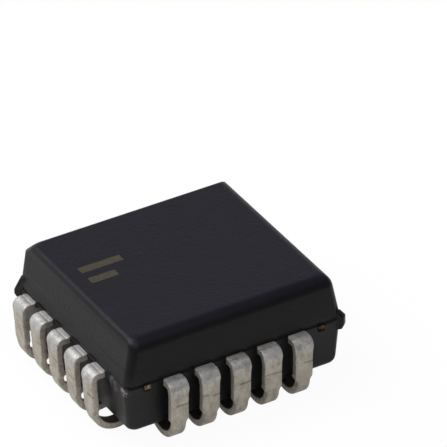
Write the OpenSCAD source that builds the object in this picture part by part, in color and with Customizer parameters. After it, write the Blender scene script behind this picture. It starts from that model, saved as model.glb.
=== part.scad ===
// A twenty-lead plastic leaded chip carrier. A black moulded body stands on J-shaped tinned leads, five on
// each side, and holds a lead frame, a die and its bond wires. Sizes are in millimetres, +Z is up, +Y is the
// pin-1 side, and the origin lies in the seating plane under the middle of the body.

/* [Moulded body] */
// Width of the body across its parting line
body_w = 8.89; // [8.4:0.01:9.6]
// Height of the upper half above the parting line
top_h = 1.73; // [1.4:0.01:2.4]
// Depth of the lower half under the parting line
bottom_h = 2; // [1.6:0.01:2.6]
// Gap between the underside and the seating plane
standoff = 0.66; // [0.45:0.01:0.8]
// Slope of the upper half's walls from vertical, in degrees
draft = 8; // [4:0.1:14]
// Slope of the upper half's wall on -X, which leans in more, in degrees
left_draft = 16.5; // [4:0.1:20]
// Slope of the lower half's walls from vertical, in degrees
low_draft = 5; // [2:0.1:10]
// Slope of the corner chamfers from vertical, in degrees
corner_draft = 3.5; // [2:0.1:5]
// How far the upper half overhangs the lower one
part_step = 0.03; // [0.01:0.01:0.08]
// Rounding of the top edges
top_r = 0.45; // [0.05:0.01:0.55]
// Rounding of the bottom edges
bottom_r = 0.4; // [0.05:0.01:0.45]
// Chamfer of the three plain corners at the parting line
corner_cut = 0.2; // [0.15:0.01:0.4]
// Chamfer of the pin-1 corner at the parting line
pin1_cut = 1.18; // [0.8:0.01:1.3]
// Width of the bevel along the top of the pin-1 side
pin1_bevel = 0.93; // [0.4:0.01:1.2]

/* [Gate nubs] */
// How far the plain corner's nub stands out
nub_reach = 0.2; // [0.1:0.01:0.4]
// How far the pin-1 corner's nub stands out
pin1_nub_reach = 0.25; // [0.1:0.01:0.4]
// Width of a nub along its corner
nub_w = 0.3; // [0.2:0.01:0.6]
// Height of the plain corner's nub above the parting line
nub_up = 0.29; // [0.2:0.01:0.6]
// Height of the pin-1 corner's nub above the parting line
pin1_nub_up = 0.45; // [0.15:0.01:0.6]
// How far the end face of the plain corner's nub rises above the parting line
nub_lift = 0.11; // [0:0.01:0.15]
// How far the end face of the pin-1 corner's nub lies under the parting line
pin1_nub_drop = 0.08; // [0:0.01:0.1]
// Depth of a nub under the parting line
nub_down = 0.45; // [0.3:0.01:0.6]
// Height of the upright end face of the plain corner's nub
nub_face = 0.34; // [0.15:0.01:0.36]
// Height of the upright end face of the pin-1 corner's nub
pin1_nub_face = 0.18; // [0.1:0.01:0.19]

/* [Underside] */
// Clearance around a lead's tip in its pocket
pocket_gap = 0.16; // [0.08:0.01:0.25]
// Outer diameter of the ejector ring
ring_d = 2.7; // [1.5:0.1:3.5]
// Width of the ejector ring
ring_w = 0.3; // [0.1:0.01:0.5]
// Depth of the ejector ring
ring_depth = 0.06; // [0.02:0.01:0.2]

/* [Leads] */
// Distance between neighbouring leads
pitch = 1.27; // [1.1:0.01:1.35]
// Thickness of the lead frame's sheet
lead_t = 0.25; // [0.18:0.01:0.3]
// Width of a lead through the body's wall and along its leg
lead_w = 0.7; // [0.55:0.01:0.85]
// How far the cut stubs of the dam bar stand out from a lead's sides around its shoulder
dam_stub = 0.03; // [0.01:0.005:0.08]
// Height of the stubs, from the top of the shoulder down
dam_h = 0.6; // [0.3:0.01:0.7]
// Width of a lead around its J
lead_tip_w = 0.5; // [0.35:0.01:0.55]
// Length of the flat shoulder outside the body
shoulder_l = 0.2; // [0.1:0.01:0.4]
// Inner radius of the bend at the shoulder
bend_r = 0.08; // [0.04:0.01:0.2]
// Inward lean of a lead's leg, in degrees
leg_lean = 3; // [0:0.1:6]
// Inner radius of the J
j_r = 0.74; // [0.6:0.01:0.9]
// How far the J turns up past its lowest point, in degrees
j_turn = 78; // [60:1:95]
// Height above the seating plane under which a lead is narrow
narrow_h = 0.87; // [0.6:0.01:1.1]
// Height of the taper from a lead's wide part to its narrow part
taper_h = 0.23; // [0.1:0.01:0.4]

/* [Lead frame inside the body] */
// Width of the sheet around the die, to the paddle's edge
paddle_rim = 0.65; // [0.3:0.01:0.8]
// Gap between the paddle and the tips of the inner fingers
finger_gap = 0.35; // [0.2:0.01:0.5]
// Gap between the tips of neighbouring inner fingers
finger_space = 0.34; // [0.2:0.01:0.5]
// Length of a finger's straight root behind the body's wall
finger_root = 0.7; // [0.4:0.01:1]
// Width of a tie bar
tie_w = 0.24; // [0.15:0.01:0.35]
// Gap between a tie bar and the outermost lead
tie_gap = 0.55; // [0.3:0.01:0.65]

/* [Die] */
// Width of the die
die_w = 2.6; // [2:0.1:3]
// Thickness of the die
die_t = 0.36; // [0.2:0.01:0.6]
// Thickness of the adhesive under the die
attach_t = 0.05; // [0.03:0.01:0.1]
// Width of the adhesive that shows around the die
attach_rim = 0.1; // [0.05:0.01:0.25]
// Distance of the bond pads from the die's edge
pad_inset = 0.15; // [0.1:0.01:0.25]
// Thickness of a bond wire
wire_t = 0.04; // [0.03:0.01:0.06]
// Height of a bond wire's loop above the die
wire_rise = 0.2; // [0.1:0.01:0.4]
// Distance of a bond wire's foot from its finger's tip
wire_foot = 0.2; // [0.1:0.01:0.3]

/* [Hidden] */
$fn = 48;
per_side = 5;
lead_count = 4 * per_side;
middle = (per_side - 1) / 2;

function two_digits(n) = str(n < 10 ? "0" : "", n);
function lead_name(n) = str("lead_", two_digits(n));
function wire_name(n) = str("bond_wire_", two_digits(n));

// Heights of the body, where the tops of the leads lie in the parting plane
part_z = standoff + bottom_h;
top_z = part_z + top_h;
half_w = body_w / 2;
half_low = half_w - part_step;
// Half widths of the top and the underside where their edges would be sharp
half_top = half_w - top_h * tan(draft);
half_under = half_low - bottom_h * tan(low_draft);
// Steps that a rounded edge is built in, and the least chamfer of a corner
edge_steps = 5;
least_cut = 0.06;
// Depth of the pin-1 bevel at 45 degrees, where it meets the sloping wall
bevel_depth = pin1_bevel / (1 - tan(draft));
// Thickness of the slices that the halves are hulled from
slice_t = 0.001;

// Outer radii of a lead's two bends, and the centres of those bends from the middle of the body
bend_out = bend_r + lead_t;
j_out = j_r + lead_t;
bend_d = half_w + shoulder_l;
bend_z = part_z - bend_out;
leg_l = (bend_z - bend_out * sin(leg_lean) - j_out + j_out * sin(leg_lean)) / cos(leg_lean);
j_d = bend_d + (bend_out - j_out) * cos(leg_lean) - leg_l * sin(leg_lean);
j_z = j_out;

// Where a lead's tip goes up through the underside into its pocket
entry_turn = acos((j_z - standoff) / j_r);
pocket_in = j_d - j_out - pocket_gap;
pocket_out = j_d - j_r * sin(entry_turn) + pocket_gap;
pocket_top = j_z - min(j_r * cos(j_turn), j_out * cos(j_turn)) + pocket_gap;
pocket_w = lead_tip_w + 2 * pocket_gap;

// Plan of the lead frame inside the body
paddle_w = die_w + 2 * paddle_rim;
finger_d = paddle_w / 2 + finger_gap;
finger_pitch = paddle_w / per_side;
finger_w = finger_pitch - finger_space;
root_d = half_w - finger_root;
tie_x = middle * pitch + lead_w / 2 + tie_gap + tie_w / 2;

// Heights of the die, and the plan of its bond wires
die_z = part_z + attach_t;
wire_z = die_z + die_t;
pad_d = die_w / 2 - pad_inset;
pad_pitch = (die_w / 2 - 2 * pad_inset) / middle;
foot_d = finger_d + wire_foot;
foot_pitch = finger_pitch + (pitch - finger_pitch) * wire_foot / (root_d - finger_d);

// A lead's side, as a turn about Z, and its place in the row, where lead 1 is in the middle of the +Y side
function slot_of(n) = (n - 1 + middle) % lead_count;
function side_turn(n) = 90 * (1 + floor(slot_of(n) / per_side));
function row_place(n) = slot_of(n) % per_side - middle;

module on_side(n) rotate([0, 0, side_turn(n)]) children();

// A corner's chamfer at a distance from the parting line, where it is steeper than the walls beside it
function cut_at(cut, away, slope) =
    max(least_cut, cut - away * (2 * tan(slope) - sqrt(2) * tan(corner_draft)));

// The rounding of an edge between a sloping wall and a flat face. Each step has its distance from the face
// and the half width there, for a wall that would meet the face at `sharp`.
function rounding(r, slope, sharp) = [for (i = [0 : edge_steps])
    let (turn = slope + i * (90 - slope) / edge_steps)
        [r * (1 - sin(turn)), sharp - r * tan((90 - slope) / 2) + r * cos(turn)]];

// Outline of the body at one height, whose wall on -X lies at `left`, cut off at `back` on the pin-1 side
module outline(half, left, cut, pin1, back) {
    intersection() {
        polygon([[half - cut, -half], [half, cut - half], [half, half - cut], [half - cut, half],
                 [pin1 - half, half], [-left, 2 * half - pin1 - left],
                 [-left, cut - half], [cut - left, -half]]);
        translate([-half, -half])
            square([2 * half, half + min(back, half)]);
    }
}

// Slice of the body `away` from the parting line, up or down
module slice(away, up, half, back) {
    slope = up ? draft : low_draft;
    left = up ? min(half, half_w - away * tan(left_draft)) : half;
    translate([0, 0, up ? part_z + away - slice_t : part_z - away])
        linear_extrude(slice_t)
            outline(half, left, cut_at(corner_cut, away, slope), cut_at(pin1_cut, away, slope), back);
}

module upper_half() {
    bevel_foot = top_h - bevel_depth;
    hull() {
        slice(slice_t, true, half_w, half_w);
        slice(bevel_foot, true, half_w - bevel_foot * tan(draft), half_w);
        for (step = rounding(top_r, draft, half_top))
            slice(top_h - step[0], true, step[1], half_top - pin1_bevel + step[0]);
    }
}

module lower_half() {
    hull() {
        slice(slice_t, false, half_low, half_low);
        for (step = rounding(bottom_r, low_draft, half_under))
            slice(bottom_h - step[0], false, step[1], half_low);
    }
}

// A nub on the corner in the direction `turn`, whose chamfer is `cut`, with its root inside the body. It
// stands out by `reach`, and is `shift` from the middle of the chamfer. It rises `up` above the parting
// line, and its end face, as high as `face`, lies `drop` under it.
module gate_nub(turn, cut, reach, shift, up, drop, face) {
    corner_d = (2 * half_w - cut) / sqrt(2);
    root_in = nub_w + reach;
    rotate([0, 0, turn])
        translate([corner_d, shift, part_z])
            rotate([90, 0, 0])
                linear_extrude(nub_w, center = true)
                    polygon([[-root_in, -nub_down], [0, -nub_down],
                             [reach, -drop - face], [reach, -drop],
                             [0, up], [-root_in, up]]);
}

module tip_pocket() {
    translate([pocket_in, -pocket_w / 2, 0])
        cube([pocket_out - pocket_in, pocket_w, pocket_top]);
}

module ejector_ring() {
    translate([0, 0, standoff - ring_depth])
        difference() {
            cylinder(h = 2 * ring_depth, d = ring_d);
            translate([0, 0, -ring_depth])
                cylinder(h = 4 * ring_depth, d = ring_d - 2 * ring_w);
        }
}

// A lead's inner finger, which fans in from the shoulder to the paddle
module finger(place) {
    root_y = place * pitch;
    tip_y = place * finger_pitch;
    translate([0, 0, part_z - lead_t])
        linear_extrude(lead_t)
            polygon([[finger_d, tip_y - finger_w / 2], [root_d, root_y - lead_w / 2],
                     [bend_d, root_y - lead_w / 2], [bend_d, root_y + lead_w / 2],
                     [root_d, root_y + lead_w / 2], [finger_d, tip_y + finger_w / 2]]);
}

// Sheet of width `w` bent about the Y axis, from one angle to another
module bent_sheet(outer, w, from, to) {
    rotate([90, 0, 0])
        rotate([0, 0, from])
            rotate_extrude(angle = to - from)
                translate([outer - lead_t, -w / 2]) square([lead_t, w]);
}

// The side of a lead outside the body as far as the lowest point of its J, wider than its stubs
module lead_side() {
    w = lead_w + 4 * dam_stub;
    translate([half_w, -w / 2, part_z - lead_t])
        cube([shoulder_l, w, lead_t]);
    translate([bend_d, 0, bend_z]) {
        bent_sheet(bend_out, w, -leg_lean, 90);
        rotate([0, leg_lean, 0])
            translate([bend_r, -w / 2, -leg_l]) cube([lead_t, w, leg_l]);
    }
    translate([j_d, 0, j_z]) bent_sheet(j_out, w, -90, -leg_lean);
}

// The front of a lead, with the stubs of the dam bar and the taper from the wide part to the narrow part
module lead_front() {
    wide = lead_w / 2;
    narrow = lead_tip_w / 2;
    right = [[narrow, -lead_t], [narrow, narrow_h], [wide, narrow_h + taper_h], [wide, part_z - dam_h],
             [wide + dam_stub, part_z - dam_h / 2], [wide + dam_stub, part_z + lead_t]];
    left = [for (i = [len(right) - 1 : -1 : 0]) [-right[i].x, right[i].y]];
    translate([j_d - lead_t, 0, 0])
        rotate([90, 0, 90])
            linear_extrude(bend_d + bend_out - j_d + 2 * lead_t)
                polygon(concat(right, left));
}

module lead(n) {
    color("silver")
        on_side(n) {
            finger(row_place(n));
            translate([0, row_place(n) * pitch, 0]) {
                intersection() {
                    lead_side();
                    lead_front();
                }
                translate([j_d, 0, j_z]) bent_sheet(j_out, lead_tip_w, -90 - j_turn, -90);
            }
        }
}

// One corner's tie bar: along the diagonal, then straight out through the wall
module tie_bar() {
    rotate(45) translate([0, -tie_w / 2]) square([tie_x * sqrt(2), tie_w]);
    translate([tie_x - tie_w / 2, tie_x - tie_w / 2]) square([tie_w, half_w - tie_x + tie_w / 2]);
}

module die_paddle() {
    color("peru")
        translate([0, 0, part_z - lead_t])
            linear_extrude(lead_t)
                intersection() {
                    union() {
                        square(paddle_w, center = true);
                        for (x = [0, 1], y = [0, 1]) mirror([x, 0]) mirror([0, y]) tie_bar();
                    }
                    outline(half_w, half_w, corner_cut, pin1_cut, half_w);
                }
}

module die_attach() {
    attach_w = die_w + 2 * attach_rim;
    color("lightgray")
        translate([-attach_w / 2, -attach_w / 2, part_z])
            cube([attach_w, attach_w, attach_t]);
}

module silicon_die() {
    color("slategray")
        translate([-die_w / 2, -die_w / 2, die_z])
            cube([die_w, die_w, die_t]);
}

// A bond wire in the upright plane through its pad and its foot. Each station has its run along the plan,
// its height and the direction to the wire's upper side.
module bond_wire(n) {
    place = row_place(n);
    pad = [pad_d, place * pad_pitch];
    foot = [foot_d, place * foot_pitch];
    run = norm(foot - pad);
    along = (foot - pad) / run;
    across = [-along.y, along.x];
    peak = [run / 6, wire_z + wire_rise];
    knee = [run * 2 / 3, wire_z + wire_rise / 2];
    stations = [[0, wire_z, [-1, 0]], [peak.x, peak.y, up_side([0, wire_z], knee)],
                [knee.x, knee.y, up_side(peak, [run, part_z])], [run, part_z, [1, 0]]];
    corners = [for (s = stations, side = [[1, 1], [1, -1], [-1, -1], [-1, 1]])
        let (spot = pad + along * (s[0] + s[2].x * side.x * wire_t / 2) + across * side.y * wire_t / 2)
            [spot.x, spot.y, s[1] + s[2].y * side.x * wire_t / 2]];
    last = 4 * (len(stations) - 1);
    sides = [for (k = [0 : len(stations) - 2], i = [0 : 3])
        let (a = 4 * k + i, b = 4 * k + (i + 1) % 4) [a, a + 4, b + 4, b]];
    color("gold")
        on_side(n)
            polyhedron(corners, concat([[0, 1, 2, 3]], sides, [[last + 3, last + 2, last + 1, last]]));
}

// Direction square to the line between two stations, on its upper side
function up_side(before, after) = let (step = (after - before) / norm(after - before)) [-step.y, step.x];

module mould_body() {
    color([0.13, 0.13, 0.14])
        difference() {
            union() {
                upper_half();
                lower_half();
                gate_nub(-45, corner_cut, nub_reach, 0, nub_up, -nub_lift, nub_face);
                gate_nub(135, pin1_cut, pin1_nub_reach, (pin1_cut * sqrt(2) - nub_w) / 2,
                         pin1_nub_up, pin1_nub_drop, pin1_nub_face);
            }
            for (n = [1 : lead_count]) {
                on_side(n) {
                    finger(row_place(n));
                    translate([0, row_place(n) * pitch, 0]) tip_pocket();
                }
                bond_wire(n);
            }
            die_paddle();
            die_attach();
            silicon_die();
            ejector_ring();
        }
}

mould_body();
die_paddle();
die_attach();
silicon_die();
for (n = [1 : lead_count]) {
    lead(n);
    bond_wire(n);
}
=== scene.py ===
"""Looks of a twenty-lead plastic leaded chip carrier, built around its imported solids.

Meshes are made in millimetres in the part's own frame, where +Z is up and +Y is the pin-1 side, and are
scaled to metres as they become objects.
"""

import math

import bmesh
import bpy
from mathutils import Matrix, Vector


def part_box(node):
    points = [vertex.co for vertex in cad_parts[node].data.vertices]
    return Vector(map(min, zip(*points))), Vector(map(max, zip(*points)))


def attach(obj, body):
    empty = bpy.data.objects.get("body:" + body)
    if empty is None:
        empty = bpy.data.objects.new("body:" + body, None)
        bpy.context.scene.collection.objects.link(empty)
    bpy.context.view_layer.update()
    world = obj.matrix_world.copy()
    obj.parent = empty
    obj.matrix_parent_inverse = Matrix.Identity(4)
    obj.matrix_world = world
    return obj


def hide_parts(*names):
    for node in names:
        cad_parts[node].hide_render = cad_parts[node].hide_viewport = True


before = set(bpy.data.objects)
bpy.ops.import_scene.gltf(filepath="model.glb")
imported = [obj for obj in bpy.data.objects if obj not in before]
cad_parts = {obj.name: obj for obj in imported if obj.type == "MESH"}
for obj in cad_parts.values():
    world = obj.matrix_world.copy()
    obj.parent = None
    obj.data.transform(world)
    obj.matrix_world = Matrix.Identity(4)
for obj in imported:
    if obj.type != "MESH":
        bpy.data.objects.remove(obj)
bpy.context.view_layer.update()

MM = 0.001

# Heights and reach that the frame gives, in millimetres
STANDOFF, TOP_Z = (corner.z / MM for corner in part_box("mould_body"))
PART_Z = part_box("lead_01")[1].z / MM
LEAD_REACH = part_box("lead_01")[1].y / MM

# Moulded body
BODY_W = 8.89
DRAFT, LEFT_DRAFT, LOW_DRAFT, CORNER_DRAFT = (math.radians(a) for a in (8, 16.5, 5, 3.5))
PART_STEP = 0.03
CORNER_CUT, PIN1_CUT = 0.2, 1.18
PIN1_BEVEL = 0.93
BEVEL_SLOPE = math.radians(45)
BEVEL_FOOT_ROUND = 0.25
# Chamfer and rounding of each corner, in order of its direction
UPPER_CORNERS = {45: (0.1, 0.08), 135: (PIN1_CUT, 0.3), 225: (CORNER_CUT, 0.32), 315: (CORNER_CUT, 0.3)}
LOWER_CORNERS = {45: (0.1, 0.08), 135: (PIN1_CUT, 0.22), 225: (CORNER_CUT, 0.26), 315: (0.15, 0.15)}
TOP_ROUNDS = {"right": 0.43, "back": 0.2, "left": 0.3, "front": 0.5}
BOTTOM_ROUNDS = {"right": 0.4, "back": 0.4, "left": 0.4, "front": 0.28}
HALF_W = BODY_W / 2
HALF_LOW = HALF_W - PART_STEP
# Insets of the seam at the parting line, by the distance from it
UPPER_SEAM = [(0, 0.06), (0.08, 0.065), (0.11, 0.03), (0.14, 0.01), (0.17, 0)]
LOWER_SEAM = [(0, 0), (0.03, -0.01), (0.08, 0)]

# Gate nubs
NUB_W = 0.3
NUB_DOWN = 0.45
NUB_BULGE = 0.05
NUB_BULGE_SHARE = 0.6
NUB_ROUND = 0.07
NUB_LEAST_ROUND = 0.002
PLAIN_NUB = {"turn": -45, "cut": CORNER_CUT, "reach": 0.2, "shift": 0, "up": 0.29, "drop": -0.11,
             "face": 0.34}
PIN1_NUB = {"turn": 135, "cut": PIN1_CUT, "reach": 0.25, "shift": (PIN1_CUT * math.sqrt(2) - NUB_W) / 2,
            "up": 0.45, "drop": 0.08, "face": 0.18}

# Leads
PER_SIDE = 5
LEAD_COUNT = 4 * PER_SIDE
MIDDLE = (PER_SIDE - 1) / 2
PITCH = 1.27
LEAD_T = 0.25
LEAD_W = 0.7
TIP_W = 0.5
DAM_STUB = 0.03
DAM_H = 0.6
SHOULDER_L = 0.2
BEND_R = 0.08
LEG_LEAN = math.radians(3)
J_R = 0.74
J_TURN = math.radians(78)
NARROW_H = 0.87
TAPER_H = 0.23
OUTER_EDGE_R = 0.035
INNER_EDGE_R = 0.03
TIP_ROUND = 0.04
BEND_OUT = BEND_R + LEAD_T
J_OUT = J_R + LEAD_T
BEND_D = LEAD_REACH - BEND_OUT
BEND_Z = PART_Z - BEND_OUT
LEG_L = (BEND_Z - BEND_OUT * math.sin(LEG_LEAN) - J_OUT + J_OUT * math.sin(LEG_LEAN)) / math.cos(LEG_LEAN)
J_D = BEND_D + (BEND_OUT - J_OUT) * math.cos(LEG_LEAN) - LEG_L * math.sin(LEG_LEAN)
J_Z = J_OUT

# Inner fingers of the lead frame
PADDLE_W = 3.9
FINGER_GAP = 0.35
FINGER_SPACE = 0.34
FINGER_ROOT = 0.7
FINGER_D = PADDLE_W / 2 + FINGER_GAP
FINGER_PITCH = PADDLE_W / PER_SIDE
FINGER_W = FINGER_PITCH - FINGER_SPACE
ROOT_D = HALF_W - FINGER_ROOT

# Underside
POCKET_GAP = 0.16
POCKET_ROUND = 0.1
POCKET_LIP = 0.05
POCKET_W = TIP_W + 2 * POCKET_GAP
POCKET_IN = J_D - J_OUT - POCKET_GAP
POCKET_OUT = J_D - J_R * math.sin(math.acos((J_Z - STANDOFF) / J_R)) + POCKET_GAP
POCKET_TOP = J_Z - J_R * math.cos(J_TURN) + POCKET_GAP
RING_D = 2.7
RING_W = 0.3
RING_DEPTH = 0.06
RING_LIP = 0.03


# Meshes


def loft(rings, wrap=False):
    """A closed bmesh through rings of as many points each, capped at both ends or joined end to end."""
    bm = bmesh.new()
    rows = [[bm.verts.new(p) for p in ring] for ring in rings]
    count = len(rows[0])
    pairs = list(zip(rows, rows[1:])) + ([(rows[-1], rows[0])] if wrap else [])
    for low, high in pairs:
        for i in range(count):
            j = (i + 1) % count
            bm.faces.new((low[i], low[j], high[j], high[i]))
    if not wrap:
        bm.faces.new(rows[0])
        bm.faces.new(rows[-1])
    bmesh.ops.recalc_face_normals(bm, faces=bm.faces)
    return bm


def cut_polygon(polygon, angle, distance):
    """What is left of a convex polygon on the near side of a line at that distance in that direction."""
    nx, ny = math.cos(angle), math.sin(angle)
    kept = []
    for i, p in enumerate(polygon):
        q = polygon[(i + 1) % len(polygon)]
        dp, dq = (nx * v[0] + ny * v[1] - distance for v in (p, q))
        if dp <= 0:
            kept.append(p)
        if dp * dq < 0:
            t = dp / (dp - dq)
            kept.append((p[0] + t * (q[0] - p[0]), p[1] + t * (q[1] - p[1])))
    return kept


ARC_STEPS = 5
ARC_MARGIN = 0.01


def rounded_outline(sides, radius, reach=20):
    """Outline of the convex shape inside lines given as (direction, distance) in order of direction, with
    its corners rounded. It has as many points for the same directions, whichever lines reach the shape."""
    core = [(reach, reach), (-reach, reach), (-reach, -reach), (reach, -reach)]
    for angle, distance in sides:
        core = cut_polygon(core, angle, distance - radius)
    points = []
    for i, (angle, _) in enumerate(sides):
        following = sides[(i + 1) % len(sides)][0]
        turn = (following - angle) % math.tau
        for k in range(ARC_STEPS):
            a = angle + turn * (ARC_MARGIN + (1 - 2 * ARC_MARGIN) * k / (ARC_STEPS - 1))
            nx, ny = math.cos(a), math.sin(a)
            x, y = max(core, key=lambda v: nx * v[0] + ny * v[1])
            points.append((x + radius * nx, y + radius * ny))
    return points


def edge_arc(radius, slope, sharp, steps=7):
    """Rounding between a wall that slopes from vertical and a flat face. Each point has its distance from
    the face and the wall's distance there, for a wall that would meet the face at `sharp`."""
    points = []
    for i in range(steps + 1):
        turn = slope + i * (math.pi / 2 - slope) / steps
        setback = radius * math.tan((math.pi / 2 - slope) / 2)
        points.append((radius * (1 - math.sin(turn)), sharp - setback + radius * math.cos(turn)))
    return points


def along(profile, away):
    """Value of a profile, as points in order of their first number, at a place between them."""
    for (a, va), (b, vb) in zip(profile, profile[1:]):
        if a <= away <= b:
            return va if b == a else va + (vb - va) * (away - a) / (b - a)
    return profile[-1][1]


def new_object(name, bm, scale=1.0):
    mesh = bpy.data.meshes.new(name)
    bm.to_mesh(mesh)
    bm.free()
    mesh.transform(Matrix.Scale(scale, 4))
    obj = bpy.data.objects.new(name, mesh)
    bpy.context.scene.collection.objects.link(obj)
    return obj


def combine(obj, others, operation):
    """Joins or cuts an object by others, which are used up."""
    for other in others:
        modifier = obj.modifiers.new("combine", "BOOLEAN")
        modifier.operation = operation
        modifier.solver = "EXACT"
        modifier.object = other
    evaluated = obj.evaluated_get(bpy.context.evaluated_depsgraph_get())
    mesh = bpy.data.meshes.new_from_object(evaluated)
    old = obj.data
    obj.modifiers.clear()
    obj.data = mesh
    mesh.name = old.name
    bpy.data.meshes.remove(old)
    for other in others:
        bpy.data.meshes.remove(other.data)


def smooth(obj, sharp_degrees):
    """Smooth shading between faces that meet at less than an angle, with large flat faces kept flat."""
    obj.data.shade_smooth()
    obj.data.set_sharp_from_angle(angle=math.radians(sharp_degrees))
    weighted = obj.modifiers.new("flat faces", "WEIGHTED_NORMAL")
    weighted.keep_sharp = True
    weighted.weight = 100


# Moulded body


WALLS = {"right": 0, "back": 90, "left": 180, "front": 270}


def corner_distance(half, cut):
    return (2 * half - cut) / math.sqrt(2)


def body_rings(profiles, half, slope, seam, corners, sign):
    """Rings of one half of the body from the parting line to its face. A wall's profile gives its distance
    from the middle at each distance from the parting line, and the seam's how far it draws in there. The
    corners draw in with the rounded edge of the right wall."""
    stations = sorted({round(away, 6) for profile in (*profiles.values(), seam) for away, _ in profile})
    rings = []
    for away in stations:
        inset = along(seam, away)
        rounding = half - away * math.tan(slope) - along(profiles["right"], away)
        sides = [(math.radians(turn), along(profiles[name], away) - inset) for name, turn in WALLS.items()]
        for turn, (cut, _) in corners.items():
            distance = corner_distance(half, cut) - away * math.tan(CORNER_DRAFT)
            sides.append((math.radians(turn), distance - inset - rounding))
        outline = []
        for _, radius in corners.values():
            start = len(outline)
            outline += rounded_outline(sorted(sides), radius)[start:start + 2 * ARC_STEPS]
        rings.append([(x, y, PART_Z + sign * away) for x, y in outline])
    return rings


def wall_profile(half, height, slope, radius):
    """A plain wall from the parting line to a rounded edge."""
    sharp = half - height * math.tan(slope)
    arc = [(height - d, h) for d, h in edge_arc(radius, slope, sharp)]
    return [(0, half)] + arc


def bevelled_profile(half, height, slope, radius):
    """The pin-1 side's wall, which leans in along the bevel to the top."""
    sharp = half - height * math.tan(slope)
    depth = PIN1_BEVEL / (1 - math.tan(slope))
    foot = height - depth
    turn = BEVEL_SLOPE - slope
    setback = BEVEL_FOOT_ROUND * math.tan(turn / 2)
    foot_half = half - foot * math.tan(slope)
    lower = (foot - setback * math.cos(slope), foot_half + setback * math.sin(slope))
    centre = (lower[0] - BEVEL_FOOT_ROUND * math.sin(slope), lower[1] - BEVEL_FOOT_ROUND * math.cos(slope))
    steps = 4
    bend = []
    for i in range(steps + 1):
        a = slope + turn * i / steps
        bend.append((centre[0] + BEVEL_FOOT_ROUND * math.sin(a), centre[1] + BEVEL_FOOT_ROUND * math.cos(a)))
    arc = [(height - d, h) for d, h in edge_arc(radius, BEVEL_SLOPE, sharp - PIN1_BEVEL)]
    return [(0, half)] + bend + arc


def outer_form():
    """Both halves of the body as one closed form, with the step and the seam between them."""
    top_h, bottom_h = TOP_Z - PART_Z, PART_Z - STANDOFF
    upper = {name: wall_profile(HALF_W, top_h, DRAFT, TOP_ROUNDS[name]) for name in WALLS}
    upper["left"] = wall_profile(HALF_W, top_h, LEFT_DRAFT, TOP_ROUNDS["left"])
    upper["back"] = bevelled_profile(HALF_W, top_h, DRAFT, TOP_ROUNDS["back"])
    lower = {name: wall_profile(HALF_LOW, bottom_h, LOW_DRAFT, BOTTOM_ROUNDS[name]) for name in WALLS}
    under = body_rings(lower, HALF_LOW, LOW_DRAFT, LOWER_SEAM, LOWER_CORNERS, -1)
    return loft(under[::-1] + body_rings(upper, HALF_W, DRAFT, UPPER_SEAM, UPPER_CORNERS, 1))


def gate_nub(turn, cut, reach, shift, up, drop, face):
    """A nub on a corner, as slices across its width that draw in at both ends."""
    corners = [(-NUB_W - reach, -NUB_DOWN), (0, -NUB_DOWN),
               (NUB_BULGE_SHARE * reach, NUB_BULGE - NUB_DOWN),
               (reach, -drop - face), (reach, -drop), (0, up), (-NUB_W - reach, up)]
    sides = []
    for i, (x, z) in enumerate(corners):
        dx, dz = (b - a for a, b in zip((x, z), corners[(i + 1) % len(corners)]))
        angle = math.atan2(-dx, dz)
        sides.append((angle % math.tau, x * math.cos(angle) + z * math.sin(angle)))
    place = Matrix.Rotation(math.radians(turn), 4, "Z") @ Matrix.Translation(
        (corner_distance(HALF_W, cut), shift, PART_Z))
    steps = 4
    arc = [(math.sin(math.pi / 2 * i / steps), math.cos(math.pi / 2 * i / steps)) for i in range(steps + 1)]
    half = NUB_W / 2
    slices = [(-half + NUB_ROUND * (1 - c), NUB_ROUND * (1 - s)) for s, c in arc]
    slices += [(-y, inset) for y, inset in slices[::-1]]
    rings = []
    for y, inset in slices:
        radius = NUB_ROUND - inset + NUB_LEAST_ROUND
        outline = rounded_outline([(a, d - inset) for a, d in sorted(sides)], radius)
        rings.append([place @ Vector((x, y, z)) for x, z in outline])
    return loft(rings)


def mouth(lip, depth, steps=4):
    """Slices of a cutter with a rounded mouth: each has its height above the underside and its spread."""
    arc = [(lip * (1 - math.cos(math.pi / 2 * i / steps)), lip * (1 - math.sin(math.pi / 2 * i / steps)))
           for i in range(steps + 1)]
    return [(-lip, lip)] + arc + [(depth - lip, 0), (depth, -lip)]


def tip_pocket(turn, place):
    """Cutter of the pocket around one lead's tip."""
    middle = (POCKET_IN + POCKET_OUT) / 2
    half_l, half_w = (POCKET_OUT - POCKET_IN) / 2, POCKET_W / 2
    spin = Matrix.Rotation(turn, 4, "Z")
    rings = []
    for height, spread in mouth(POCKET_LIP, POCKET_TOP - STANDOFF):
        sides = [(0, half_l + spread), (math.pi / 2, half_w + spread),
                 (math.pi, half_l + spread), (1.5 * math.pi, half_w + spread)]
        outline = rounded_outline(sides, POCKET_ROUND)
        rings.append([spin @ Vector((middle + x, place * PITCH + y, STANDOFF + height)) for x, y in outline])
    return loft(rings)


def ejector_ring(segments=96):
    """Cutter of the round groove in the underside."""
    middle = (RING_D - RING_W) / 2
    section = [(middle + side * (RING_W / 2 + spread), STANDOFF + height)
               for side, order in ((1, 1), (-1, -1))
               for height, spread in mouth(RING_LIP, RING_DEPTH)[::order]]
    rings = []
    for k in range(segments):
        a = math.tau * k / segments
        rings.append([(r * math.cos(a), r * math.sin(a), z) for r, z in section])
    return loft(rings, wrap=True)


def cad_copy(name):
    """A CAD node's solid in millimetres, to cut with."""
    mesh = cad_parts[name].data.copy()
    mesh.transform(Matrix.Scale(1 / MM, 4))
    obj = bpy.data.objects.new("cutter", mesh)
    bpy.context.scene.collection.objects.link(obj)
    return obj


def side_of(number):
    """A lead's side as a turn about Z, and its place in the row. Lead 1 is in the middle of the +Y side."""
    slot = int(number - 1 + MIDDLE) % LEAD_COUNT
    return math.pi / 2 * (1 + slot // PER_SIDE), slot % PER_SIDE - MIDDLE


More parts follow.
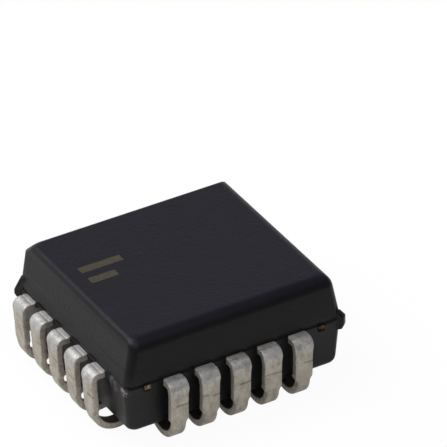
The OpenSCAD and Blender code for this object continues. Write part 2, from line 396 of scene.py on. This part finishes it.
def moulded_body():
    body = new_object("moulded_body", outer_form())
    combine(body, [new_object("nub", gate_nub(**nub)) for nub in (PLAIN_NUB, PIN1_NUB)], "UNION")
    cutters = [new_object("pocket", tip_pocket(*side_of(n))) for n in range(1, LEAD_COUNT + 1)]
    cutters.append(new_object("ring", ejector_ring()))
    cutters += [cad_copy(name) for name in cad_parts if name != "mould_body"]
    combine(body, cutters, "DIFFERENCE")
    body.data.transform(Matrix.Scale(MM, 4))
    smooth(body, 32)
    return body


# Leads


def ease(t):
    t = min(1, max(0, t))
    return t * t * (3 - 2 * t)


def lead_width(z):
    """Width of a lead outside the body at a height, with the stubs of its dam bar and its taper."""
    taper = TIP_W + (LEAD_W - TIP_W) * ease((z - NARROW_H) / TAPER_H)
    return taper + 2 * DAM_STUB * ease((z - PART_Z + DAM_H) / (DAM_H / 2))


FINGER_STEPS, SHOULDER_STEPS, BEND_STEPS, LEG_STEPS, J_STEPS = 6, 12, 24, 48, 36


def lead_line(place):
    """Stations along a lead: the middle of its sheet, the direction to its upper side, its middle across
    the row, and its width."""
    up = (0, 1)
    sheet_z = PART_Z - LEAD_T / 2
    stations = []
    for i in range(FINGER_STEPS + 1):
        t = i / FINGER_STEPS
        x = FINGER_D + (ROOT_D - FINGER_D) * t
        stations.append((x, sheet_z, up, place * (FINGER_PITCH + (PITCH - FINGER_PITCH) * t),
                         FINGER_W + (LEAD_W - FINGER_W) * t))
    row = place * PITCH
    stations.append((HALF_W, sheet_z, up, row, LEAD_W))
    for i in range(SHOULDER_STEPS):
        x = HALF_W + SHOULDER_L * i / SHOULDER_STEPS
        stations.append((x, sheet_z, up, row, lead_width(PART_Z)))
    middle_r = BEND_R + LEAD_T / 2
    for i in range(BEND_STEPS + 1):
        a = math.pi / 2 - (math.pi / 2 + LEG_LEAN) * i / BEND_STEPS
        z = BEND_Z + middle_r * math.sin(a)
        stations.append((BEND_D + middle_r * math.cos(a), z, (math.cos(a), math.sin(a)), row, lead_width(z)))
    x0, z0 = stations[-1][:2]
    outward = (math.cos(LEG_LEAN), -math.sin(LEG_LEAN))
    for i in range(1, LEG_STEPS):
        step = LEG_L * i / LEG_STEPS
        z = z0 - step * math.cos(LEG_LEAN)
        stations.append((x0 - step * math.sin(LEG_LEAN), z, outward, row, lead_width(z)))
    middle_r = J_R + LEAD_T / 2
    for i in range(J_STEPS + 1):
        a = -LEG_LEAN - (math.pi / 2 + J_TURN - LEG_LEAN) * i / J_STEPS
        z = J_Z + middle_r * math.sin(a)
        width = lead_width(z) if a > -math.pi / 2 else TIP_W
        stations.append((J_D + middle_r * math.cos(a), z, (math.cos(a), math.sin(a)), row, width))
    return stations


def sheet_section(width, dent, inset):
    """Section of a lead: across the row and out through the sheet, with its edges rounded and its upper side
    dented."""
    half_w, half_t = width / 2 - inset, LEAD_T / 2 - inset
    points = []
    corners = ((1, 1, OUTER_EDGE_R), (-1, 1, OUTER_EDGE_R), (-1, -1, INNER_EDGE_R), (1, -1, INNER_EDGE_R))
    for k, (sx, sy, radius) in enumerate(corners):
        for i in range(5):
            a = math.pi / 2 * (k + i / 4)
            v = sy * (half_t - radius) + radius * math.sin(a)
            points.append((sx * (half_w - radius) + radius * math.cos(a), v - dent if sy > 0 else v))
    return points


# Faces of a section by their place around it: the two that the blanking tool cut, and the inner one
SHEARED_SIDES = (9, 19)
INNER_SIDE = 14
TOOL_DROP = 0.95
TOOL_DEPTH = 0.018
TOOL_HALF = 0.05
TOOL_SCATTER = 0.06
TOOL_SCATTER_STEP = 2.4
CREASE_D = HALF_W + 0.13
CREASE_DEPTH = 0.012
CREASE_HALF = 0.05


def tool_dent(x, z, number):
    """Depth of the marks that the forming tool leaves on a lead's upper side."""
    mark_z = PART_Z - TOOL_DROP + TOOL_SCATTER * math.sin(TOOL_SCATTER_STEP * number)
    across_leg = 1 - ease(abs(z - mark_z) / TOOL_HALF) if x > BEND_D else 0
    across_shoulder = 1 - ease(abs(x - CREASE_D) / CREASE_HALF) if z > PART_Z - LEAD_T else 0
    return TOOL_DEPTH * across_leg + CREASE_DEPTH * across_shoulder


def tinned_lead(number):
    turn, place = side_of(number)
    spin = Matrix.Rotation(turn, 4, "Z")
    stations = lead_line(place)
    ends = {0: TIP_ROUND, len(stations) - 1: TIP_ROUND}
    rings = []
    for i, (x, z, (nx, nz), row, width) in enumerate(stations):
        ring = []
        for u, v in sheet_section(width, tool_dent(x, z, number), ends.get(i, 0)):
            ring.append(spin @ Vector((x + v * nx, row + u, z + v * nz)))
        rings.append(ring)
    bm = loft(rings)
    bm.faces.ensure_lookup_table()
    points = len(rings[0])
    for pair in range(len(rings) - 1):
        for side in SHEARED_SIDES:
            bm.faces[pair * points + side].material_index = 1
        # The inner side takes a material with painted shade.
        bm.faces[pair * points + INNER_SIDE].material_index = 2
    lead = new_object(f"tinned_lead_{number:02d}", bm, MM)
    smooth(lead, 40)
    return lead


# Materials


MARK_BARS = [((-2.43, 0.85), (1.7, 0.36)), ((-2.73, 0.1), (1.1, 0.36))]
MARK_INK = (0.055, 0.047, 0.030, 1)
MARK_DEPTH = 0.02


def new_material(name):
    material = bpy.data.materials.new(name)
    material.use_nodes = True
    return material, material.node_tree, material.node_tree.nodes["Principled BSDF"]


def place_nodes(tree, scale):
    """Coordinates of the part in millimetres, stretched by a scale along each axis."""
    coordinates = tree.nodes.new("ShaderNodeTexCoord")
    mapping = tree.nodes.new("ShaderNodeMapping")
    mapping.inputs["Scale"].default_value = [s / MM for s in scale]
    tree.links.new(coordinates.outputs["Object"], mapping.inputs["Vector"])
    return mapping.outputs["Vector"]


def part_axes(tree, scale=(1, 1, 1)):
    """The part's three coordinates in millimetres, one by one."""
    axes = tree.nodes.new("ShaderNodeSeparateXYZ")
    tree.links.new(place_nodes(tree, scale), axes.inputs["Vector"])
    return axes.outputs


def noise(tree, scale, detail=4, roughness=0.6):
    """Noise with so many features in a millimetre along each axis."""
    texture = tree.nodes.new("ShaderNodeTexNoise")
    texture.inputs["Scale"].default_value = 1
    texture.inputs["Detail"].default_value = detail
    texture.inputs["Roughness"].default_value = roughness
    tree.links.new(place_nodes(tree, scale), texture.inputs["Vector"])
    return texture.outputs["Fac"]


def ramp(tree, source, stops):
    """Colours or greys along a source's value."""
    node = tree.nodes.new("ShaderNodeValToRGB")
    elements = node.color_ramp.elements
    while len(elements) < len(stops):
        elements.new(0.5)
    for element, (position, colour) in zip(elements, stops):
        element.position = position
        element.color = (colour, colour, colour, 1) if isinstance(colour, float) else (*colour, 1)
    tree.links.new(source, node.inputs["Fac"])
    return node.outputs["Color"]


def bump(tree, shader, sources):
    """Relief from several heights, each with its depth in millimetres."""
    normal = None
    for source, depth in sources:
        node = tree.nodes.new("ShaderNodeBump")
        node.inputs["Distance"].default_value = depth * MM
        tree.links.new(source, node.inputs["Height"])
        if normal:
            tree.links.new(normal, node.inputs["Normal"])
        normal = node.outputs["Normal"]
    tree.links.new(normal, shader.inputs["Normal"])


def calculate(tree, operation, first, second):
    """What an operation makes of two values, each a socket or a number."""
    node = tree.nodes.new("ShaderNodeMath")
    node.operation = operation
    for socket, value in zip(node.inputs, (first, second)):
        if isinstance(value, (int, float)):
            socket.default_value = value
        else:
            tree.links.new(value, socket)
    return node.outputs[0]


def compare(tree, value, middle, margin):
    """One where a value lies within a margin of a middle, and otherwise zero."""
    node = tree.nodes.new("ShaderNodeMath")
    node.operation = "COMPARE"
    tree.links.new(value, node.inputs[0])
    node.inputs[1].default_value = middle
    node.inputs[2].default_value = margin
    return node.outputs[0]


def printed_bars(tree):
    """One on the printed bars of the top face, and otherwise zero."""
    x, y, z = part_axes(tree)
    total = 0
    for (middle_x, middle_y), (length, width) in MARK_BARS:
        along_x = compare(tree, x, middle_x, length / 2)
        along_y = compare(tree, y, middle_y, width / 2)
        total = calculate(tree, "MAXIMUM", total, calculate(tree, "MULTIPLY", along_x, along_y))
    return calculate(tree, "MULTIPLY", total, compare(tree, z, TOP_Z, MARK_DEPTH))


# Stains and a painted highlight on the body, each with its place, its reach and its colour: copper smeared
# from the tie bar's end at the front right, pale flash under the parting line on the left side, and a
# painted highlight where light catches the ledge under the parting line at the front left corner
STAINS_AND_GLINT = [((3.62, -4.4, PART_Z - 0.12), 0.26, (0.022, 0.011, 0.005, 1)),
          ((-HALF_LOW, -3.5, PART_Z - 0.18), 0.36, (0.09, 0.084, 0.087, 1)),
          # Painted highlight: this last pale patch is light catching the ledge at the front left corner, not
          # a stain.
          ((-HALF_LOW, -4.2, PART_Z - 0.17), 0.24, (0.2, 0.19, 0.19, 1))]


def patch_share(tree, place, reach):
    """A patchy share around a place, which is zero from its reach on."""
    away = tree.nodes.new("ShaderNodeVectorMath")
    away.operation = "DISTANCE"
    tree.links.new(place_nodes(tree, (1, 1, 1)), away.inputs[0])
    away.inputs[1].default_value = place
    near = ramp(tree, away.outputs["Value"], [(reach / 2, 1.0), (reach, 0.0)])
    patches = ramp(tree, noise(tree, (8, 8, 8), 3), [(0.45, 0.0), (0.55, 1.0)])
    return calculate(tree, "MULTIPLY", near, patches)


def mix_colours(tree, share, first, second):
    """From one colour, a socket, to another, written out, by a share."""
    node = tree.nodes.new("ShaderNodeMix")
    node.data_type = "RGBA"
    tree.links.new(share, node.inputs["Factor"])
    tree.links.new(first, node.inputs["A"])
    node.inputs["B"].default_value = second
    return node.outputs["Result"]


def tone(tree, colour, shade):
    """A colour darkened where a grey is dark."""
    node = tree.nodes.new("ShaderNodeMix")
    node.data_type = "RGBA"
    node.blend_type = "MULTIPLY"
    node.inputs["Factor"].default_value = 1
    tree.links.new(colour, node.inputs["A"])
    tree.links.new(shade, node.inputs["B"])
    return node.outputs["Result"]


def mould_compound():
    """Grained black with a painted bluish reflection on the top face, with stains, a painted highlight and
    the worn print.
    """
    material, tree, shader = new_material("mould_compound")
    cloud = noise(tree, (1.2, 1.2, 1.2), 5)
    grain = noise(tree, (28, 28, 28), 3)
    near_top = calculate(tree, "SUBTRACT", part_axes(tree)["Z"], TOP_Z - 1)
    # Painted reflection: the top face is tinted bluer, as the light it reflects would make it look.
    colour = ramp(tree, near_top, [(0.75, (0.0052, 0.0050, 0.0052)), (0.97, (0.0046, 0.0040, 0.0110))])
    colour = tone(tree, colour, ramp(tree, cloud, [(0.3, 0.7), (0.7, 1.0)]))
    wear = ramp(tree, noise(tree, (7, 7, 7), 4), [(0.3, 0.55), (0.55, 1.0)])
    # Each entry mixes in its colour: real stains, and at the front left corner a painted highlight.
    for place, reach, tint in STAINS_AND_GLINT:
        colour = mix_colours(tree, patch_share(tree, place, reach), colour, tint)
    colour = mix_colours(tree, calculate(tree, "MULTIPLY", printed_bars(tree), wear), colour, MARK_INK)
    tree.links.new(colour, shader.inputs["Base Color"])
    tree.links.new(ramp(tree, grain, [(0.3, 0.34), (0.7, 0.46)]), shader.inputs["Roughness"])
    shader.inputs["Specular IOR Level"].default_value = 0.215
    bump(tree, shader, [(grain, 0.006), (noise(tree, (9, 9, 9), 2), 0.009)])
    return material


def tool_line(tree, height):
    """A grey that is dark along a broken line, where the forming tool pressed each leg."""
    wander = calculate(tree, "MULTIPLY", noise(tree, (1.1, 1.1, 0.2), 1), 0.4)
    above = calculate(tree, "SUBTRACT", height, PART_Z - TOOL_DROP - 0.2)
    line = ramp(tree, calculate(tree, "ADD", above, wander),
                [(0.35, 1.0), (0.385, 0.6), (0.415, 0.6), (0.45, 1.0)])
    gaps = ramp(tree, noise(tree, (2.6, 2.6, 2.6), 2), [(0.5, 0.0), (0.58, 1.0)])
    return calculate(tree, "MAXIMUM", line, gaps)


def tin():
    """Matt tin with worn patches and the tool's line, speckled around the shoulder and browner below."""
    material, tree, shader = new_material("lead_tin")
    shader.inputs["Metallic"].default_value = 0.6
    streaks = noise(tree, (22, 22, 2), 4)
    speckles = noise(tree, (13, 13, 13), 2, 0.5)
    patches = noise(tree, (3.2, 3.2, 2.2), 6, 0.65)
    colour = ramp(tree, patches, [(0.3, (0.30, 0.29, 0.28)), (0.46, (0.43, 0.42, 0.41)),
                                  (0.68, (0.56, 0.55, 0.54))])
    height = part_axes(tree)["Z"]
    below = calculate(tree, "SUBTRACT", PART_Z, height)
    colour = tone(tree, colour, ramp(tree, below, [(0.2, (1.0, 1.0, 1.0)), (0.6, (0.87, 0.81, 0.70))]))
    smoothness = ramp(tree, below, [(0.3, 0.0), (0.6, 0.9)])
    grit = ramp(tree, speckles, [(0.36, 0.76), (0.48, 1.0)])
    colour = tone(tree, colour, calculate(tree, "MAXIMUM", grit, smoothness))
    colour = tone(tree, colour, tool_line(tree, height))
    tree.links.new(colour, shader.inputs["Base Color"])
    tree.links.new(ramp(tree, streaks, [(0.3, 0.45), (0.7, 0.62)]), shader.inputs["Roughness"])
    bump(tree, shader, [(streaks, 0.004), (speckles, 0.006)])
    return material


def sheared_metal():
    """The torn sides of a lead, where the blanking tool cut through the sheet."""
    material, tree, shader = new_material("sheared_metal")
    shader.inputs["Metallic"].default_value = 0.6
    tears = noise(tree, (9, 9, 5), 4)
    tree.links.new(ramp(tree, tears, [(0.35, (0.30, 0.26, 0.215)), (0.65, (0.52, 0.475, 0.42))]),
                   shader.inputs["Base Color"])
    tree.links.new(ramp(tree, tears, [(0.3, 0.45), (0.7, 0.62)]), shader.inputs["Roughness"])
    bump(tree, shader, [(tears, 0.006)])
    return material


def inner_side_shade():
    """The inner side of a lead, darkened with painted shade in place of the dark body and shadows it would
    reflect.
    """
    material, tree, shader = new_material("inner_side_shade")
    shader.inputs["Metallic"].default_value = 0.6
    mottle = noise(tree, (4, 4, 4), 4)
    # Painted shade: these dark browns stand in for the shadow and dark reflection on the inner side.
    tree.links.new(ramp(tree, mottle, [(0.35, (0.055, 0.043, 0.036)), (0.65, (0.12, 0.10, 0.088))]),
                   shader.inputs["Base Color"])
    tree.links.new(ramp(tree, mottle, [(0.3, 0.7), (0.7, 0.55)]), shader.inputs["Roughness"])
    bump(tree, shader, [(mottle, 0.004)])
    return material


def copper():
    """Copper that is lighter and yellower at the left end and darker and browner at the right, with painted
    shade over its lower part.
    """
    material, tree, shader = new_material("frame_copper")
    shader.inputs["Metallic"].default_value = 1
    x, _, z = part_axes(tree, (1 / BODY_W, 1, 1))
    left_to_right_colour = ramp(tree, calculate(tree, "ADD", x, 0.5),
                   [(0.1, (0.25, 0.21, 0.13)), (0.5, (0.26, 0.14, 0.08)), (0.9, (0.075, 0.045, 0.028))])
    # Painted shade: under the parting line the copper is darkened in patches, as the recess under the tie
    # bar's end would shade it.
    below = calculate(tree, "SUBTRACT", PART_Z, z)
    grain = noise(tree, (12, 12, 12), 3)
    painted_shade_below = calculate(tree, "MULTIPLY", ramp(tree, below, [(0.13, 1.0), (0.18, 0.08)]),
                      ramp(tree, noise(tree, (11, 11, 11), 3), [(0.4, 0.12), (0.55, 1.0)]))
    tree.links.new(tone(tree, left_to_right_colour, painted_shade_below), shader.inputs["Base Color"])
    tree.links.new(ramp(tree, grain, [(0.3, 0.3), (0.7, 0.5)]), shader.inputs["Roughness"])
    bump(tree, shader, [(grain, 0.003)])
    return material


def adhesive():
    material, tree, shader = new_material("die_adhesive")
    flakes = noise(tree, (30, 30, 30), 2)
    tree.links.new(ramp(tree, flakes, [(0.35, (0.30, 0.30, 0.30)), (0.65, (0.55, 0.55, 0.54))]),
                   shader.inputs["Base Color"])
    tree.links.new(ramp(tree, flakes, [(0.3, 0.6), (0.7, 0.4)]), shader.inputs["Roughness"])
    shader.inputs["Metallic"].default_value = 0.4
    bump(tree, shader, [(flakes, 0.004)])
    return material


def silicon():
    """The die's face, with its blocks of circuits."""
    material, tree, shader = new_material("silicon")
    cells = tree.nodes.new("ShaderNodeTexBrick")
    cells.inputs["Scale"].default_value = 1
    cells.inputs["Brick Width"].default_value = 0.34
    cells.inputs["Row Height"].default_value = 0.19
    cells.inputs["Mortar Size"].default_value = 0.012
    cells.inputs["Color1"].default_value = (0.10, 0.11, 0.16, 1)
    cells.inputs["Color2"].default_value = (0.17, 0.15, 0.20, 1)
    cells.inputs["Mortar"].default_value = (0.45, 0.44, 0.42, 1)
    tree.links.new(place_nodes(tree, (1, 1, 1)), cells.inputs["Vector"])
    tree.links.new(cells.outputs["Color"], shader.inputs["Base Color"])
    tree.links.new(ramp(tree, noise(tree, (40, 40, 40), 2), [(0.3, 0.16), (0.7, 0.26)]),
                   shader.inputs["Roughness"])
    return material


def gold():
    material, tree, shader = new_material("bond_gold")
    shader.inputs["Metallic"].default_value = 1
    draw_marks = noise(tree, (60, 60, 60), 2)
    tree.links.new(ramp(tree, draw_marks, [(0.3, (0.80, 0.55, 0.20)), (0.7, (0.95, 0.70, 0.32))]),
                   shader.inputs["Base Color"])
    tree.links.new(ramp(tree, draw_marks, [(0.3, 0.2), (0.7, 0.32)]), shader.inputs["Roughness"])
    return material


def dress(piece, node, slot, *materials):
    """Puts a piece with its materials in the place of a CAD node."""
    for material in materials:
        piece.data.materials.append(material)
    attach(piece, "root")
    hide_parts(node)


def repaint(node, material):
    """Gives a CAD node that stays its finish."""
    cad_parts[node].material_slots[0].material = material


dress(moulded_body(), "mould_body", "mould_compound", mould_compound())
plating, sheared, inner, wire_gold = tin(), sheared_metal(), inner_side_shade(), gold()
for number in range(1, LEAD_COUNT + 1):
    dress(tinned_lead(number), f"lead_{number:02d}", "lead_tin", plating, sheared, inner)
    repaint(f"bond_wire_{number:02d}", wire_gold)
repaint("die_paddle", copper())
repaint("die_attach", adhesive())
repaint("silicon_die", silicon())


# Stage


FLOOR_R = 0.4
# Distance in millimetres over which the floor greys with painted shade from the middle to the front
FLOOR_FADE = 30
# Share of plain white in the floor as the camera sees it, and what is left of that in reflections
FLOOR_WHITE = 0.95
FLOOR_WHITE_REFLECTED = 0.25
WHITE = (1, 1, 1, 1)


def seen_as_background(tree):
    """One for rays from the camera and for reflected and refracted ones, and otherwise zero."""
    path = tree.nodes.new("ShaderNodeLightPath")
    bounced = calculate(tree, "MAXIMUM", path.outputs["Is Glossy Ray"], path.outputs["Is Transmission Ray"])
    return calculate(tree, "MAXIMUM", path.outputs["Is Camera Ray"], bounced)


def white_to_camera(tree, otherwise):
    """One for rays from the camera, and otherwise a socket's value or a number."""
    path = tree.nodes.new("ShaderNodeLightPath")
    return calculate(tree, "MAXIMUM", path.outputs["Is Camera Ray"], otherwise)


def floor_paper():
    """White paper that keeps a faint shadow, which is deeper in reflections. It is greyer towards the front,
    a painted shade that shows in reflections, and clear from below."""
    material, tree, shader = new_material("floor_paper")
    shader.inputs["Roughness"].default_value = 0.9
    back = calculate(tree, "ADD", part_axes(tree, (1, 1 / FLOOR_FADE, 1))["Y"], 1)
    # Painted shade: the paper's colour is greyer towards the front, and the part shows that in its
    # reflections.
    tree.links.new(ramp(tree, back, [(0.4, 0.3), (0.77, 0.82)]), shader.inputs["Base Color"])
    glow = tree.nodes.new("ShaderNodeEmission")
    glow.inputs["Color"].default_value = WHITE
    share = calculate(tree, "MULTIPLY", white_to_camera(tree, FLOOR_WHITE_REFLECTED), FLOOR_WHITE)
    mix = tree.nodes.new("ShaderNodeMixShader")
    tree.links.new(calculate(tree, "MULTIPLY", seen_as_background(tree), share), mix.inputs["Fac"])
    tree.links.new(shader.outputs["BSDF"], mix.inputs[1])
    tree.links.new(glow.outputs["Emission"], mix.inputs[2])
    one_sided = tree.nodes.new("ShaderNodeMixShader")
    tree.links.new(tree.nodes.new("ShaderNodeNewGeometry").outputs["Backfacing"], one_sided.inputs["Fac"])
    tree.links.new(mix.outputs["Shader"], one_sided.inputs[1])
    tree.links.new(tree.nodes.new("ShaderNodeBsdfTransparent").outputs["BSDF"], one_sided.inputs[2])
    tree.links.new(one_sided.outputs["Shader"], tree.nodes["Material Output"].inputs["Surface"])
    return material


def add_floor():
    bm = bmesh.new()
    bmesh.ops.create_circle(bm, cap_ends=True, radius=FLOOR_R, segments=64)
    floor = new_object("floor", bm)
    floor.data.materials.append(floor_paper())


def add_world(strength):
    """A white room that lights softly. In reflections it is darker overhead and in front."""
    world = bpy.data.worlds.new("studio")
    bpy.context.scene.world = world
    world.use_nodes = True
    tree = world.node_tree
    soft = tree.nodes["Background"]
    soft.inputs["Color"].default_value = WHITE
    soft.inputs["Strength"].default_value = strength
    white = tree.nodes.new("ShaderNodeBackground")
    white.inputs["Color"].default_value = WHITE
    axes = tree.nodes.new("ShaderNodeSeparateXYZ")
    tree.links.new(tree.nodes.new("ShaderNodeTexCoord").outputs["Generated"], axes.inputs["Vector"])
    back = calculate(tree, "ADD", calculate(tree, "MULTIPLY", axes.outputs["Y"], 0.5), 0.5)
    back = calculate(tree, "SUBTRACT", back, calculate(tree, "MULTIPLY", axes.outputs["Z"], 0.3))
    room = ramp(tree, back, [(0.2, 0.12), (0.7, 0.36), (0.95, 1.0)])
    tree.links.new(white_to_camera(tree, room), white.inputs["Strength"])
    mix = tree.nodes.new("ShaderNodeMixShader")
    tree.links.new(seen_as_background(tree), mix.inputs["Fac"])
    tree.links.new(soft.outputs["Background"], mix.inputs[1])
    tree.links.new(white.outputs["Background"], mix.inputs[2])
    tree.links.new(mix.outputs["Shader"], tree.nodes["World Output"].inputs["Surface"])


def add_softbox(name, place, size, power):
    """A lamp with a lit rectangle that faces the part."""
    data = bpy.data.lights.new(name, "AREA")
    data.shape = "RECTANGLE"
    data.size, data.size_y = size
    data.energy = power
    lamp = bpy.data.objects.new(name, data)
    target = Vector((0, 0, PART_Z * MM))
    lamp.location = place
    lamp.rotation_euler = (Vector(place) - target).to_track_quat("Z", "Y").to_euler()
    bpy.context.scene.collection.objects.link(lamp)


add_floor()
add_world(0.46)
add_softbox("left_box", (-0.1, 0.08, 0.18), (0.16, 0.16), 0.38)
add_softbox("front_box", (-0.04, -0.09, 0.18), (0.16, 0.16), 0.11)


# Camera at the photograph's place: its axes, and how far it stands from the lead shoulders


VIEW_AZIMUTH, VIEW_ELEVATION, VIEW_ROLL = (math.radians(a) for a in (-29.3373, 33.1964, -1.3606))
VIEW_DISTANCE = 227.27
VIEW_OFFSET = (1.8134, 2.5804)
SENSOR = 36
PICTURE_WIDTH = 447
PIXELS_PER_MM = 27.9348


def add_camera():
    back = Vector((math.sin(VIEW_AZIMUTH) * math.cos(VIEW_ELEVATION),
                   -math.cos(VIEW_AZIMUTH) * math.cos(VIEW_ELEVATION), math.sin(VIEW_ELEVATION)))
    level = Vector((0, 0, 1)).cross(back).normalized()
    upright = back.cross(level)
    right = math.cos(VIEW_ROLL) * level + math.sin(VIEW_ROLL) * upright
    up = math.cos(VIEW_ROLL) * upright - math.sin(VIEW_ROLL) * level
    place = right * VIEW_OFFSET[0] + up * VIEW_OFFSET[1] + back * VIEW_DISTANCE + Vector((0, 0, PART_Z))
    data = bpy.data.cameras.new("camera")
    data.sensor_width = SENSOR
    data.lens = PIXELS_PER_MM * VIEW_DISTANCE / PICTURE_WIDTH * SENSOR
    data.clip_start = VIEW_DISTANCE * MM / 10
    camera = bpy.data.objects.new("camera", data)
    turn = Matrix((right, up, back)).transposed().to_4x4()
    camera.matrix_world = Matrix.Translation(place * MM) @ turn
    bpy.context.scene.collection.objects.link(camera)
    bpy.context.scene.camera = camera


add_camera()
bpy.context.scene.view_settings.view_transform = "Standard"
